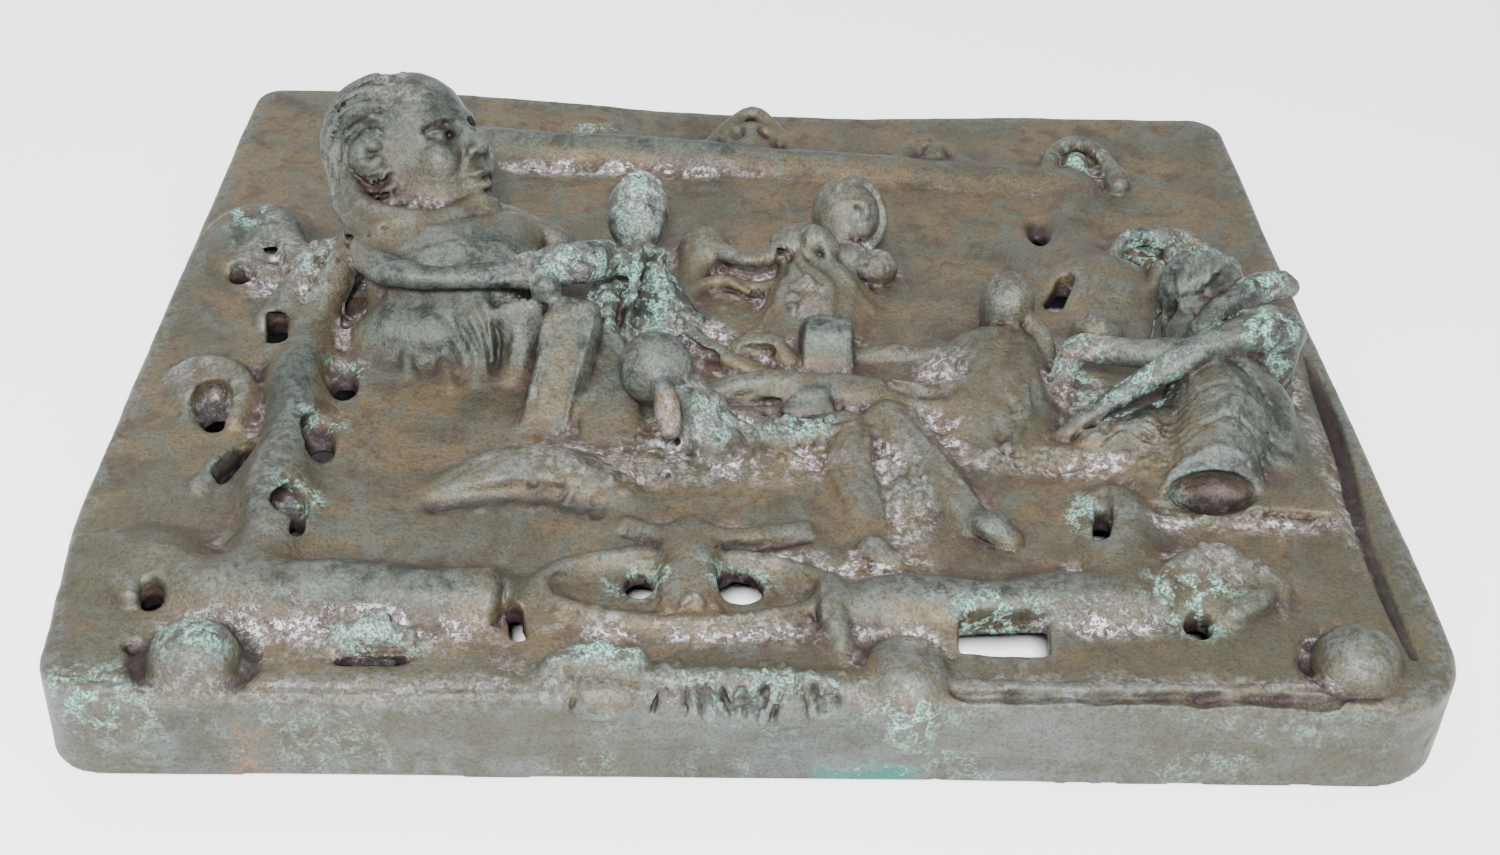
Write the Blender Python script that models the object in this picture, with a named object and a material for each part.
"""A hand-modelled bronze relief, cast in one piece with a hollow back.

Metres, +Z up. The relief lies on its back, its face up, and +Y points to its upper edge. The origin is on the
back face of the upper rim, in the middle of its width, where the relief rests on a wall.
"""

import math

import bmesh
import bpy
from mathutils import Matrix, Vector

# Plate
PLATE_W = 0.511  # overall width
PLATE_D = 0.436  # overall height when hung
EDGE_H = 0.041  # from the back of the rim to the plate's face
WALL = 0.007  # thickness of the rim
FACE_T = 0.008  # thickness of the plate's face
LIP_IN = 0.005  # how far the face stops short of the rim's side, where the edge is rounded
LIP_H = 0.006  # height of that rounded edge

# Relief
RELIEF_H = 0.079  # from the plate's face to the crown of the large head
COIL_R = 0.0125  # rolled coils that frame the scene
DOME_R = 0.0165  # three domes along the lower edge
COLUMN_R = 0.0125  # half-round column under the middle dome
HOLE_R = 0.0050  # a typical pierced hole

# Skin: the lumps are pressed into one skin, then thinned out to few faces
SKIN_CELL = 0.0030
SKIN_SHARE = 0.0435
HOLE_CELL = 0.0016
HOLE_SHARE = 0.045

# The composition was drawn on squared paper, measured from the middle of the plate
SQUARES_W = 511
SQUARES_D = 436
SQUARES_H = 79
SX = PLATE_W / SQUARES_W
SY = PLATE_D / SQUARES_D
SZ = RELIEF_H / SQUARES_H

# How far a hole's cutter reaches below and above the plate's face, in squares
THROUGH = FACE_T / SZ + 12
ABOVE = 9

# Outline in squares: corner x, corner y, rounding
OUTLINE = (
    (-251, -213, 20), (-257, -125, 90), (-250, 20, 200), (-239, 220, 13), (-160, 223, 90),
    (-40, 209, 200), (40, 205, 200), (150, 212, 200), (246, 212, 15), (249, 80, 300),
    (255, -130, 300), (255, -214, 32), (60, -212, 200), (-90, -213, 200),
)


def arc_outline(corners, step=math.radians(13)):
    """The closed outline with each corner rounded by an arc, as points in metres."""
    points = []
    count = len(corners)
    for i, (x, y, rounding) in enumerate(corners):
        here = Vector((x * SX, y * SY))
        before = Vector((corners[i - 1][0] * SX, corners[i - 1][1] * SY))
        after = Vector((corners[(i + 1) % count][0] * SX, corners[(i + 1) % count][1] * SY))
        to_before, to_after = before - here, after - here
        half = to_before.angle(to_after) / 2
        reach = min(rounding * SX / math.tan(half), 0.48 * to_before.length, 0.48 * to_after.length)
        radius = reach * math.tan(half)
        centre = here + (to_before.normalized() + to_after.normalized()).normalized() * (radius / math.sin(half))
        start = here + to_before.normalized() * reach - centre
        turn = math.pi - 2 * half
        steps = max(2, math.ceil(turn / step))
        side = 1 if to_after.cross(to_before) > 0 else -1
        for k in range(steps + 1):
            c, s = math.cos(side * turn * k / steps), math.sin(side * turn * k / steps)
            points.append(centre + Vector((c * start.x - s * start.y, s * start.x + c * start.y)))
    return points


def inset(points, distance):
    """The outline moved inwards by one distance all round."""
    moved = []
    for i, here in enumerate(points):
        before = (here - points[i - 1]).normalized()
        after = (points[(i + 1) % len(points)] - here).normalized()
        normal = Vector((before.y + after.y, -before.x - after.x)).normalized()
        stretch = max(0.4, normal.dot(Vector((before.y, -before.x))))
        moved.append(here + normal * distance / stretch * INWARD)
    return moved


def winding(points):
    """1 for a clockwise outline, -1 for the other way round."""
    area = sum(a.cross(b) for a, b in zip(points, points[1:] + points[:1]))
    return 1 if area < 0 else -1


def edge_y(points, x):
    """The y of the outline's upper edge at this x."""
    crossings = []
    for a, b in zip(points, points[1:] + points[:1]):
        if min(a.x, b.x) <= x < max(a.x, b.x):
            crossings.append(a.y + (b.y - a.y) * (x - a.x) / (b.x - a.x))
    return max(crossings)


RIM = arc_outline(OUTLINE)
INWARD = winding(RIM)
ORIGIN_Y = edge_y(RIM, 0.0) - WALL / 2


def on(x, y, lift=0.0):
    """A place on the relief: squares from the middle of the plate, and squares above its face."""
    return Vector((x * SX, y * SY - ORIGIN_Y, EDGE_H + lift * SZ))


def loft(bm, levels):
    """A closed slab through outlines, given as (height, inset) from the bottom up."""
    loops = []
    for height, distance in levels:
        ring = inset(RIM, distance)
        loops.append([bm.verts.new((p.x, p.y - ORIGIN_Y, height)) for p in ring])
    for low, high in zip(loops, loops[1:]):
        for i in range(len(low)):
            j = (i + 1) % len(low)
            bm.faces.new((low[i], low[j], high[j], high[i]))
    bm.faces.new(loops[0])
    bm.faces.new(loops[-1])


def ball(bm, centre, radii, lean=(0, 0, 0)):
    """A lump: centre and radii in squares, leaning by angles about X, Y and Z in degrees."""
    size = Matrix.Diagonal((radii[0] * SX, radii[1] * SX, radii[2] * SX, 1))
    turn = Matrix.Identity(4)
    for degrees, axis in zip(lean, "XYZ"):
        turn = Matrix.Rotation(math.radians(degrees), 4, axis) @ turn
    bmesh.ops.create_icosphere(bm, subdivisions=3, radius=1, matrix=Matrix.Translation(on(*centre)) @ turn @ size)


def roll(bm, places):
    """A tapering roll through places given as (point, radius) in metres."""
    for point, radius in places:
        bmesh.ops.create_icosphere(bm, subdivisions=2, radius=radius, matrix=Matrix.Translation(point))
    for (start, start_radius), (end, end_radius) in zip(places, places[1:]):
        turn = (end - start).to_track_quat("Z", "Y").to_matrix().to_4x4()
        bmesh.ops.create_cone(
            bm, cap_ends=True, segments=12, radius1=start_radius, radius2=end_radius,
            depth=(end - start).length, matrix=Matrix.Translation((start + end) / 2) @ turn,
        )


def limb(bm, *joints):
    """A tapering roll of clay through joints (x, y, lift, radius), all in squares."""
    roll(bm, [(on(x, y, lift), radius * SX) for x, y, lift, radius in joints])


def ridge(bm, radius, *points):
    """A roll of one radius through points (x, y, lift)."""
    limb(bm, *((x, y, lift, radius) for x, y, lift in points))


def block(bm, depth, *corners):
    """A flat-faced lump: the hull of its upper corners and of the same corners pressed into the plate."""
    verts = [bm.verts.new(on(x, y, lift)) for x, y, lift in corners]
    verts += [bm.verts.new(on(x, y, -depth)) for x, y, _ in corners]
    hull = bmesh.ops.convex_hull(bm, input=verts)
    spare = [v for v in hull["geom_interior"] if isinstance(v, bmesh.types.BMVert)]
    bmesh.ops.delete(bm, geom=spare, context="VERTS")


def plate(bm):
    """The slab that the back is hollowed from, and its rounded edge. It starts below the back and is cut flat."""
    loft(bm, (
        (-LIP_H, LIP_IN / 2), (EDGE_H * 0.12, 0.0), (EDGE_H - LIP_H, 0.0),
        (EDGE_H - LIP_H * 0.3, LIP_IN * 0.3), (EDGE_H, LIP_IN),
    ))


def frame_coils(bm):
    """Rolled coils round the scene, broken where the bowl stands between them."""
    r = COIL_R / SX
    ridge(bm, r, (-189, 52, -2), (-186, -36, -2), (-183, -98, -3), (-184, -150, -3))
    ridge(bm, r, (-208, -158, -2), (-150, -162, -1), (-104, -164, -1))
    ridge(bm, r * 0.9, (36, -164, -2), (86, -162, -2), (140, -160, -2))
    ridge(bm, r * 0.92, (-122, 168, -3), (0, 158, -3), (100, 150, -5), (160, 145, -7))
    ridge(bm, r, (160, 140, -9), (152, 60, -9))
    ridge(bm, r * 1.25, (142, -107, -6), (139, -128, -7), (138, -150, -7))
    limb(bm, (27, -154, 0, 6), (28, -168, 3, 7), (30, -183, -1, 6))


def domes(bm):
    """Three domes along the lower edge, the middle one on a half-round column."""
    r = DOME_R / SX
    for x, y in ((-198, -197), (53, -198), (216, -191)):
        ball(bm, (x, y, -2), (r, r, r))
    column = COLUMN_R / SX
    foot = (0.5 * WALL - EDGE_H) / SZ
    limb(bm, (53, -202, -6, column * 1.1), (53, -204, foot / 2, column), (53, -203, foot, column))


def lower_edge(bm):
    """The pleated frieze over the lower edge, the lump beside it and the bowl with its post."""
    limb(bm, (-74, -199, -2, 7), (36, -200, -3, 6.5))
    for k in range(9):
        x = -70 + 12.8 * k
        limb(bm, (x, -199, 1, 4.6), (x, -208, 1, 4.8), (x + 1, -212.5, -7, 4.2), (x + 2, -213, -16, 3.5))
    ball(bm, (-137, -188, 0), (17, 9, 9))
    ridge(bm, 5.5, (-79, -157, -1), (-71, -145, -1), (-50, -139, -1), (-27, -138, -1), (-2, -139, -1), (18, -146, -1),
          (25, -157, -1), (14, -170, -1), (-12, -176, -1), (-42, -176, -1), (-68, -170, -1), (-79, -157, -1))
    ball(bm, (-24, -146, -1), (12.5, 23, 8))
    limb(bm, (-47, -123, -1, 5), (-22, -129, 1, 5.5), (19, -123, -1, 5))
    ball(bm, (-137, -160, -5), (60, 12, 12))


def side_mounds(bm):
    """Low mounds outside the coils, most of them round a pierced hole."""
    ball(bm, (-217, 76, -2), (24, 30, 13))
    limb(bm, (-213, 100, 0, 6), (-203, 84, 4, 6), (-198, 60, 4, 7), (-190, 45, 3, 9))
    limb(bm, (-238, 60, -1, 6), (-224, 40, 2, 6), (-208, 42, 3, 6))
    ball(bm, (-222, -34, -3), (18, 20, 11))
    limb(bm, (-232, -18, -1, 5), (-214, -28, 3, 7), (-202, -48, 2, 6))
    limb(bm, (-198, -14, 0, 7), (-208, -22, 0, 6))
    ball(bm, (-225, -144, -3), (24, 24, 13))
    limb(bm, (-246, -128, -2, 5), (-226, -128, 1, 6), (-206, -142, 2, 7))
    ball(bm, (168, -148, -4), (28, 20, 13))
    limb(bm, (150, -160, 0, 6), (166, -146, 5, 7), (186, -158, 2, 6))


def upper_motifs(bm):
    """Small arches and dots above the upper coil."""
    ridge(bm, 3.5, (-92, 172, -1), (-78, 188, 0), (-62, 173, -1))
    ball(bm, (-78, 177, 1), (6, 6, 5))
    ridge(bm, 4, (-15, 170, 0), (-3, 186, 2), (8, 196, 4), (18, 186, 2), (29, 168, 0))
    ball(bm, (7, 178, 0), (15, 15, 9))
    ridge(bm, 4, (78, 158, -1), (84, 172, 0), (95, 178, 0), (106, 172, 0), (112, 158, -1))
    ball(bm, (95, 166, 0), (7, 7, 6))
    ridge(bm, 5, (151, 150, 1), (156, 167, 2), (168, 176, 3), (178, 168, 3), (182, 150, 2))
    ball(bm, (182, 143, 2), (6, 9, 7))
    ball(bm, (166, 160, 1), (8, 10, 7))


def head_frame():
    """Axes of the large head, tilted back and turned to the right: forward, left and up."""
    forward = Vector((0.72, -0.22, 0.66)).normalized()
    up = Vector((-0.44, 0.60, 0.60))
    up = (up - forward * up.dot(forward)).normalized()
    return forward, up.cross(forward), up


def large_head(bm, centre=(-146, 80, 44), height=76):
    """The large head. Its parts are shares of its height along (forward, left, up)."""
    forward, left, up = head_frame()
    axes = Matrix((forward, left, up)).transposed().to_4x4()
    middle = on(*centre)
    scale = height * SX

    def at(place):
        return middle + (forward * place[0] + left * place[1] + up * place[2]) * scale

    def part(place, radii):
        size = Matrix.Diagonal((radii[0] * scale, radii[1] * scale, radii[2] * scale, 1))
        matrix = Matrix.Translation(at(place)) @ axes @ size
        bmesh.ops.create_icosphere(bm, subdivisions=3, radius=1, matrix=matrix)

    part((-0.02, 0.0, 0.10), (0.40, 0.34, 0.38))
    part((0.08, 0.0, -0.12), (0.32, 0.28, 0.36))
    part((0.29, 0.0, -0.41), (0.10, 0.12, 0.09))
    part((0.38, 0.0, -0.06), (0.08, 0.06, 0.12))
    part((0.34, 0.0, -0.25), (0.08, 0.12, 0.06))
    for side in (-1, 1):
        part((0.29, 0.13 * side, 0.08), (0.09, 0.12, 0.05))
        part((0.26, 0.15 * side, -0.15), (0.11, 0.10, 0.10))
    part((-0.12, 0.0, 0.05), (0.35, 0.36, 0.42))
    part((-0.17, 0.0, -0.24), (0.26, 0.32, 0.26))
    for side in (-1, 1):
        for reach in (0.42, 0.70, 0.94):
            lock = []
            for degrees in range(62, 300, 26):
                angle = math.radians(degrees)
                out = 0.37 * side * math.sqrt(1 - reach**2)
                place = (-0.10 + 0.37 * reach * math.cos(angle), out, 0.05 + 0.46 * reach * math.sin(angle))
                lock.append((at(place), 0.062 * scale))
            roll(bm, lock)


def seated_figure(bm):
    """The large seated figure at the upper left: bust, arm reaching to its neighbour, knees and flat shins."""
    large_head(bm)
    block(bm, 2, (-162, 6, 18), (-152, -4, 20), (-116, -8, 22), (-98, 0, 22), (-90, 40, 20), (-162, 44, 18))
    block(bm, -16, (-166, 36, 30), (-156, 8, 36), (-132, -2, 39), (-103, 0, 39), (-84, 18, 34), (-84, 48, 26),
          (-112, 62, 36), (-150, 54, 36))
    limb(bm, (-158, 42, 26, 12), (-146, 30, 28, 13), (-126, 24, 29, 13), (-110, 32, 29, 11), (-100, 44, 27, 9))
    block(bm, 2, (-157, 13, 22), (-150, 1, 25), (-108, -5, 27), (-95, 8, 27), (-130, 30, 30))
    limb(bm, (-109, 68, 22, 5), (-92, 52, 25, 5.5), (-78, 50, 18, 6))
    limb(bm, (-163, 26, 28, 7), (-154, 9, 31, 7), (-124, -4, 35, 5.5), (-108, -3, 36, 5.5), (-87, 3, 35, 8.2),
         (-68, 13, 33, 9), (-50, 23, 29, 7.5))
    limb(bm, (-168, 58, 18, 8), (-176, 27, 12, 8.5), (-182, 0, 1, 7))
    limb(bm, (-174, 52, 14, 6.5), (-189, 35, 7, 9), (-196, 16, 2, 8))
    block(bm, 2, (-109, -5, 28), (-93, -2, 34), (-81, -5, 30), (-94, -17, 20), (-102, -18, 3), (-87, -15, 3))
    block(bm, 2, (-116, -2, 24), (-106, -6, 26), (-105, -16, 15), (-105, -35, 1), (-119, -31, 0), (-123, -12, 8))
    limb(bm, (-94, -12, 8, 7), (-97, -26, -2, 7))
    block(bm, 2, (-84, -17, 30), (-63, -17, 30), (-59, -15, 26), (-83, -7, 32), (-64, -8, 32), (-60, -6, 27),
          (-95, -66, 1), (-73, -64, 1), (-68, -63, -1))
    block(bm, 4, (-62, -14, 18), (-44, -44, 9), (-42, -67, 1), (-68, -73, 1), (-71, -46, 5), (-52, -10, 14))


def cloaked_figure(bm):
    """A small figure with an egg-shaped head and an open cloak, one arm lying along the plate."""
    ball(bm, (-47, 60, 29), (13.5, 12, 18), lean=(-50, 6, 0))
    limb(bm, (-47, 46, 18, 7), (-42, 36, 18, 7.5))
    block(bm, 4, (-57, 38, 16), (-44, 38, 22), (-34, 40, 17), (-65, -2, 3), (-53, -9, 8), (-45, -9, 9), (-28, -9, 8),
          (-8, 3, 2), (-20, 18, 11))
    limb(bm, (-55, 36, 15, 6), (-60, 18, 11, 7.5), (-62, -4, 2, 7))
    limb(bm, (-47, 32, 20, 4), (-49, 0, 7, 4))
    limb(bm, (-36, 32, 19, 4), (-18, 6, 7, 4))
    limb(bm, (-27, 4, 4, 6), (-15, -10, 3, 5.5), (-4, -17, 2, 4), (8, -21, 0, 3.5))


def beaked_figure(bm):
    """A round-headed creature on a tapering body, with a tongue-like beak."""
    ball(bm, (-38, -47, 22), (15.5, 15, 15.5))
    limb(bm, (-28, -52, 13, 11), (-21, -63, 8, 10), (-15, -73, 1, 8.5))
    limb(bm, (-16, -52, 6, 7), (-9, -68, 2, 7))
    limb(bm, (-36, -62, 24, 4.5), (-33.5, -73, 20, 5), (-32, -80, 16, 4.5))


def hooded_figure(bm):
    """A figure with a tilted, hooded head, its thin arm held out to the left, and a block-like boot."""
    ball(bm, (49, 80, 17), (15, 15, 18), lean=(-42, 8, 0))
    limb(bm, (45, 70, 12, 7), (47, 58, 8, 9), (50, 55, 6, 8))
    ball(bm, (60, 57, 5), (9, 9, 7))
    block(bm, 4, (18, 62, 13), (30, 60, 18), (46, 54, 14), (60, 40, 3), (54, 22, 2), (46, 10, 4), (12, 2, 2),
          (2, 8, 1), (12, 34, 9), (30, 34, 15))
    limb(bm, (34, 58, 17, 6.5), (16, 56, 13, 5), (0, 54, 10, 4.2), (-14, 66, 7, 5.5))
    limb(bm, (16, 66, 12, 4.5), (24, 68, 15, 4.5), (38, 55, 16, 4.5))
    limb(bm, (-17, 71, 2, 12), (-22, 54, -1, 7))
    limb(bm, (-28, 36, -1, 3.5), (-15, 46, 2, 3.5), (3, 43, 3, 4), (12, 42, 4, 4))
    block(bm, 4, (25, 6, 15), (45, 7, 15), (46, -8, 15), (24, -9, 15), (47, -18, 1), (22, -19, 1), (24, 12, 6),
          (46, 12, 6))
    limb(bm, (-3, -4, 2, 6), (8, -5, 3, 6.5), (18, -12, 1, 5.5))


def bowed_figure(bm):
    """A figure seen from behind, with a thumb-like head and a broad back."""
    block(bm, 4, (76, -2, 2), (96, 6, 11), (120, 5, 12), (131, -14, 3), (127, -46, 1), (117, -71, 1), (87, -70, 1),
          (78, -36, 2), (106, -18, 16), (101, -46, 12), (118, -30, 13), (94, -24, 12))
    limb(bm, (113, 10, 0, 11), (113, 15, 9, 12.3), (113, 17, 16, 12))
    limb(bm, (122, 8, 12, 4.5), (127, 0, 7, 5.5), (128, -10, 2, 5))


def reclining_figure(bm):
    """A figure lying across the middle, its two legs spread to the lower edge."""
    limb(bm, (11, -33, 1, 8), (40, -36, 3, 9.5), (78, -39, 1, 8.5), (96, -42, 0, 8))
    block(bm, 3, (12, -47, 9), (20, -41, 16), (32, -41, 15), (38, -52, 7), (24, -57, 6), (10, -56, 2))
    limb(bm, (-8, -66, 0, 5.5), (18, -63, 2, 6.5), (38, -60, 3, 7.5))
    limb(bm, (-17, -36, 0, 5), (4, -32, 3, 5.5), (18, -33, 5, 6))
    ball(bm, (48, -58, 2), (17, 15, 11.5))
    limb(bm, (41, -66, 0, 9), (40, -90, -1, 9), (44, -123, -3, 7.5))
    limb(bm, (44, -128, -1, 5.5), (53, -140, -1, 5.5))
    limb(bm, (57, -54, 3, 9), (70, -82, 1, 9.5), (85, -115, -1, 7.5))
    limb(bm, (87, -117, 3, 6.5), (92, -121, 3, 7.5), (98, -126, 1, 6.5))
    ball(bm, (60, -96, -4), (14, 22, 9))


def archer_figure(bm):
    """The figure at the right: a bent arm, a long rod-like arm, a raised hand and a draped body on a slab."""
    ball(bm, (192, 2, 33), (20, 17, 19), lean=(-30, 0, 0))
    limb(bm, (188, -8, 20, 14), (191, -34, 15, 18), (192, -58, 7, 20), (186, -80, 1, 19))
    block(bm, 3, (128, -68, 0), (150, -58, 9), (172, -54, 18), (178, -86, 6), (150, -89, 1))
    limb(bm, (176, -32, 24, 7), (150, -25, 20, 6.5), (138, -20, 15, 7), (132, -26, 3, 6), (131, -30, 0, 6))
    limb(bm, (127, -59, 0, 4.5), (153, -50, 16, 5.5), (184, -40, 32, 7), (204, -33, 35, 8.2), (220, -31, 34, 8.4))
    block(bm, 1, (196, -40, 34), (226, -38, 36), (228, -24, 38), (200, -20, 36), (226, -36, 26), (204, -38, 24))
    limb(bm, (186, -26, 32, 6), (204, -13, 39, 7), (214, -6, 40, 7.5), (225, -2, 39, 7))
    limb(bm, (186, -37, 20, 9), (203, -41, 19, 9.5), (217, -54, 10, 8), (217, -71, 0, 7))
    limb(bm, (197, -48, 6, 7), (216, -30, 8, 8), (222, -14, 10, 9))
    block(bm, 3, (190, -40, 18), (214, -46, 14), (219, -70, 3), (205, -93, 3), (190, -84, 12))
    ball(bm, (182, -91, 0), (21, 13.5, 12))
    block(bm, 4, (151, -103, 3.5), (230, -111, 4.5), (237, -6, 3), (180, -40, 4), (150, -70, 2))
    ball(bm, (162, 54, -4), (24, 28, 12.5))
    limb(bm, (168, 65, 1, 4.5), (176, 82, 5, 4.5), (192, 89, 5, 4.5), (198, 74, 2, 4.5))
    limb(bm, (194, 88, 4, 5), (207, 88, 3, 4.5), (217, 87, 0, 4))
    ball(bm, (153, 14, 0), (12, 8, 8))


def crescent(bm):
    """The smooth hump between the seated figure and the bowl."""
    limb(bm, (-127, -106, -5, 6), (-106, -95, -6, 14.5), (-85, -92, -6, 17.5), (-62, -96, -6, 13.5),
         (-49, -105, -5, 9))


def crust(bm):
    """Low, rough ground between the figures in the middle."""
    ball(bm, (-10, -58, -6), (52, 34, 10))
    ball(bm, (75, -78, -7), (52, 34, 10))
    ball(bm, (118, -72, -4), (32, 10, 9))
    ball(bm, (-60, -88, -6), (48, 20, 9))
    ball(bm, (-10, 10, -7), (44, 30, 11))


def slit(bm, start, end, half_width):
    """A long cut right through the face, between two places in squares."""
    start, end = Vector(start), Vector(end)
    side = (end - start).orthogonal().normalized() * half_width
    corners = (start + side, start - side, end - side, end + side)
    block(bm, THROUGH, *((c.x, c.y, ABOVE) for c in corners))


def pierced_holes(bm):
    """Everything that is pressed right through the face, and the dishes round the larger holes."""
    w = HOLE_R / SX
    for x, y, wide, tall in (
        (-209, 64, 0.9, 1.2), (-221, 47, 0.85, 0.9), (-166, -34, 1.15, 1.6), (-170, -77, 1.05, 1.65),
        (-174, -127, 1.05, 1.65), (-214, -57, 1.0, 1.5), (-218, -166, 0.9, 1.1), (-43, -153, 1.1, 1.25),
        (-6, -153, 1.7, 1.75), (139, 94, 0.9, 1.5), (181, 75, 0.7, 0.9), (162, -173, 1.1, 1.2),
    ):
        for shift in (w * (wide - tall), w * (tall - wide)):
            limb(bm, (x, y + shift, -THROUGH, w * wide), (x, y + shift, ABOVE, w * wide))
    slit(bm, (-199, 13), (-197, -10), w * 0.9)
    slit(bm, (-198, -78), (-207, -98), w * 0.65)
    slit(bm, (-88, -168), (-86, -184), w * 0.6)
    slit(bm, (146, 55), (137, 35), w * 0.8)
    slit(bm, (136, -105), (133, -128), w * 0.75)
    slit(bm, (72, -180), (108, -180), w * 1.95)
    slit(bm, (-149, -195), (-124, -195), w * 0.65)
    for x, y in ((-167, -27), (-172, -69), (-177, -117), (-217, -50), (139, 102)):
        ball(bm, (x, y, 3), (w * 1.6, w * 2.4, w * 1.5))


def pits(bm):
    """Hollows that don't go through."""
    ball(bm, (181, -101, 6), (17, 11, 9), lean=(-25, 0, 0))
    ridge(bm, 4, (60, -36, 8), (84, -36, 7))
    ridge(bm, 3.5, (110, -38, 17), (103, -68, 7))
    ridge(bm, 6.5, (-120, -112, 5), (-90, -109, 8), (-61, -114, 5))
    ridge(bm, 3.5, (72, -210, 2), (206, -208, 2))


LUMPS = (
    plate, frame_coils, domes, lower_edge, side_mounds, upper_motifs, seated_figure, cloaked_figure, beaked_figure,
    hooded_figure, bowed_figure, reclining_figure, archer_figure, crescent, crust,
)


def clear_scene():
    for obj in list(bpy.data.objects):
        bpy.data.objects.remove(obj)


def mesh_object(name, makers):
    """One object from the shapes that these functions add, its faces turned outwards."""
    bm = bmesh.new()
    for maker in makers:
        maker(bm)
    bmesh.ops.recalc_face_normals(bm, faces=bm.faces)
    mesh = bpy.data.meshes.new(name)
    bm.to_mesh(mesh)
    bm.free()
    obj = bpy.data.objects.new(name, mesh)
    bpy.context.scene.collection.objects.link(obj)
    return obj


def press_together(obj, cell, share, smoothing):
    """Joins overlapping lumps into one skin, softens where they meet, and thins out the faces."""
    remesh = obj.modifiers.new("one_skin", "REMESH")
    remesh.mode = "VOXEL"
    remesh.voxel_size = cell
    smooth = obj.modifiers.new("thumbed_smooth", "SMOOTH")
    smooth.factor = 0.5
    smooth.iterations = smoothing
    thin = obj.modifiers.new("fewer_faces", "DECIMATE")
    thin.ratio = share


def cut(obj, cutter, name):
    """Takes the cutter out of the object, and hides the cutter."""
    boolean = obj.modifiers.new(name, "BOOLEAN")
    boolean.operation = "DIFFERENCE"
    boolean.solver = "EXACT"
    boolean.object = cutter
    cutter.hide_render = True
    cutter.display_type = "WIRE"


def hollow_back(bm):
    """The space behind the face, inside the rim."""
    ceiling = EDGE_H - FACE_T
    loft(bm, ((-3 * LIP_H, WALL), (ceiling - LIP_H, WALL), (ceiling, WALL + LIP_IN)))


def below_back(bm):
    """The block that cuts the back of the rim flat."""
    size = Matrix.Diagonal((2 * PLATE_W, 2 * PLATE_D, EDGE_H, 1))
    place = Matrix.Translation((0, on(0, 0).y, -EDGE_H / 2))
    bmesh.ops.create_cube(bm, size=1, matrix=place @ size)


def bronze():
    """Weathered brown-green bronze."""
    material = bpy.data.materials.new("weathered_bronze")
    material.use_nodes = True
    shader = material.node_tree.nodes["Principled BSDF"]
    shader.inputs["Base Color"].default_value = (0.20, 0.17, 0.12, 1)
    shader.inputs["Roughness"].default_value = 0.62
    shader.inputs["Metallic"].default_value = 0.55
    return material


def build():
    clear_scene()
    relief = mesh_object("bronze_relief", LUMPS)
    press_together(relief, SKIN_CELL, SKIN_SHARE, 3)
    holes = mesh_object("hole_cutter", (pierced_holes, pits))
    press_together(holes, HOLE_CELL, HOLE_SHARE, 2)
    cut(relief, mesh_object("back_cutter", (below_back,)), "flat_back")
    cut(relief, mesh_object("hollow_cutter", (hollow_back,)), "hollow_back")
    cut(relief, holes, "holes")
    relief.data.materials.append(bronze())


build()
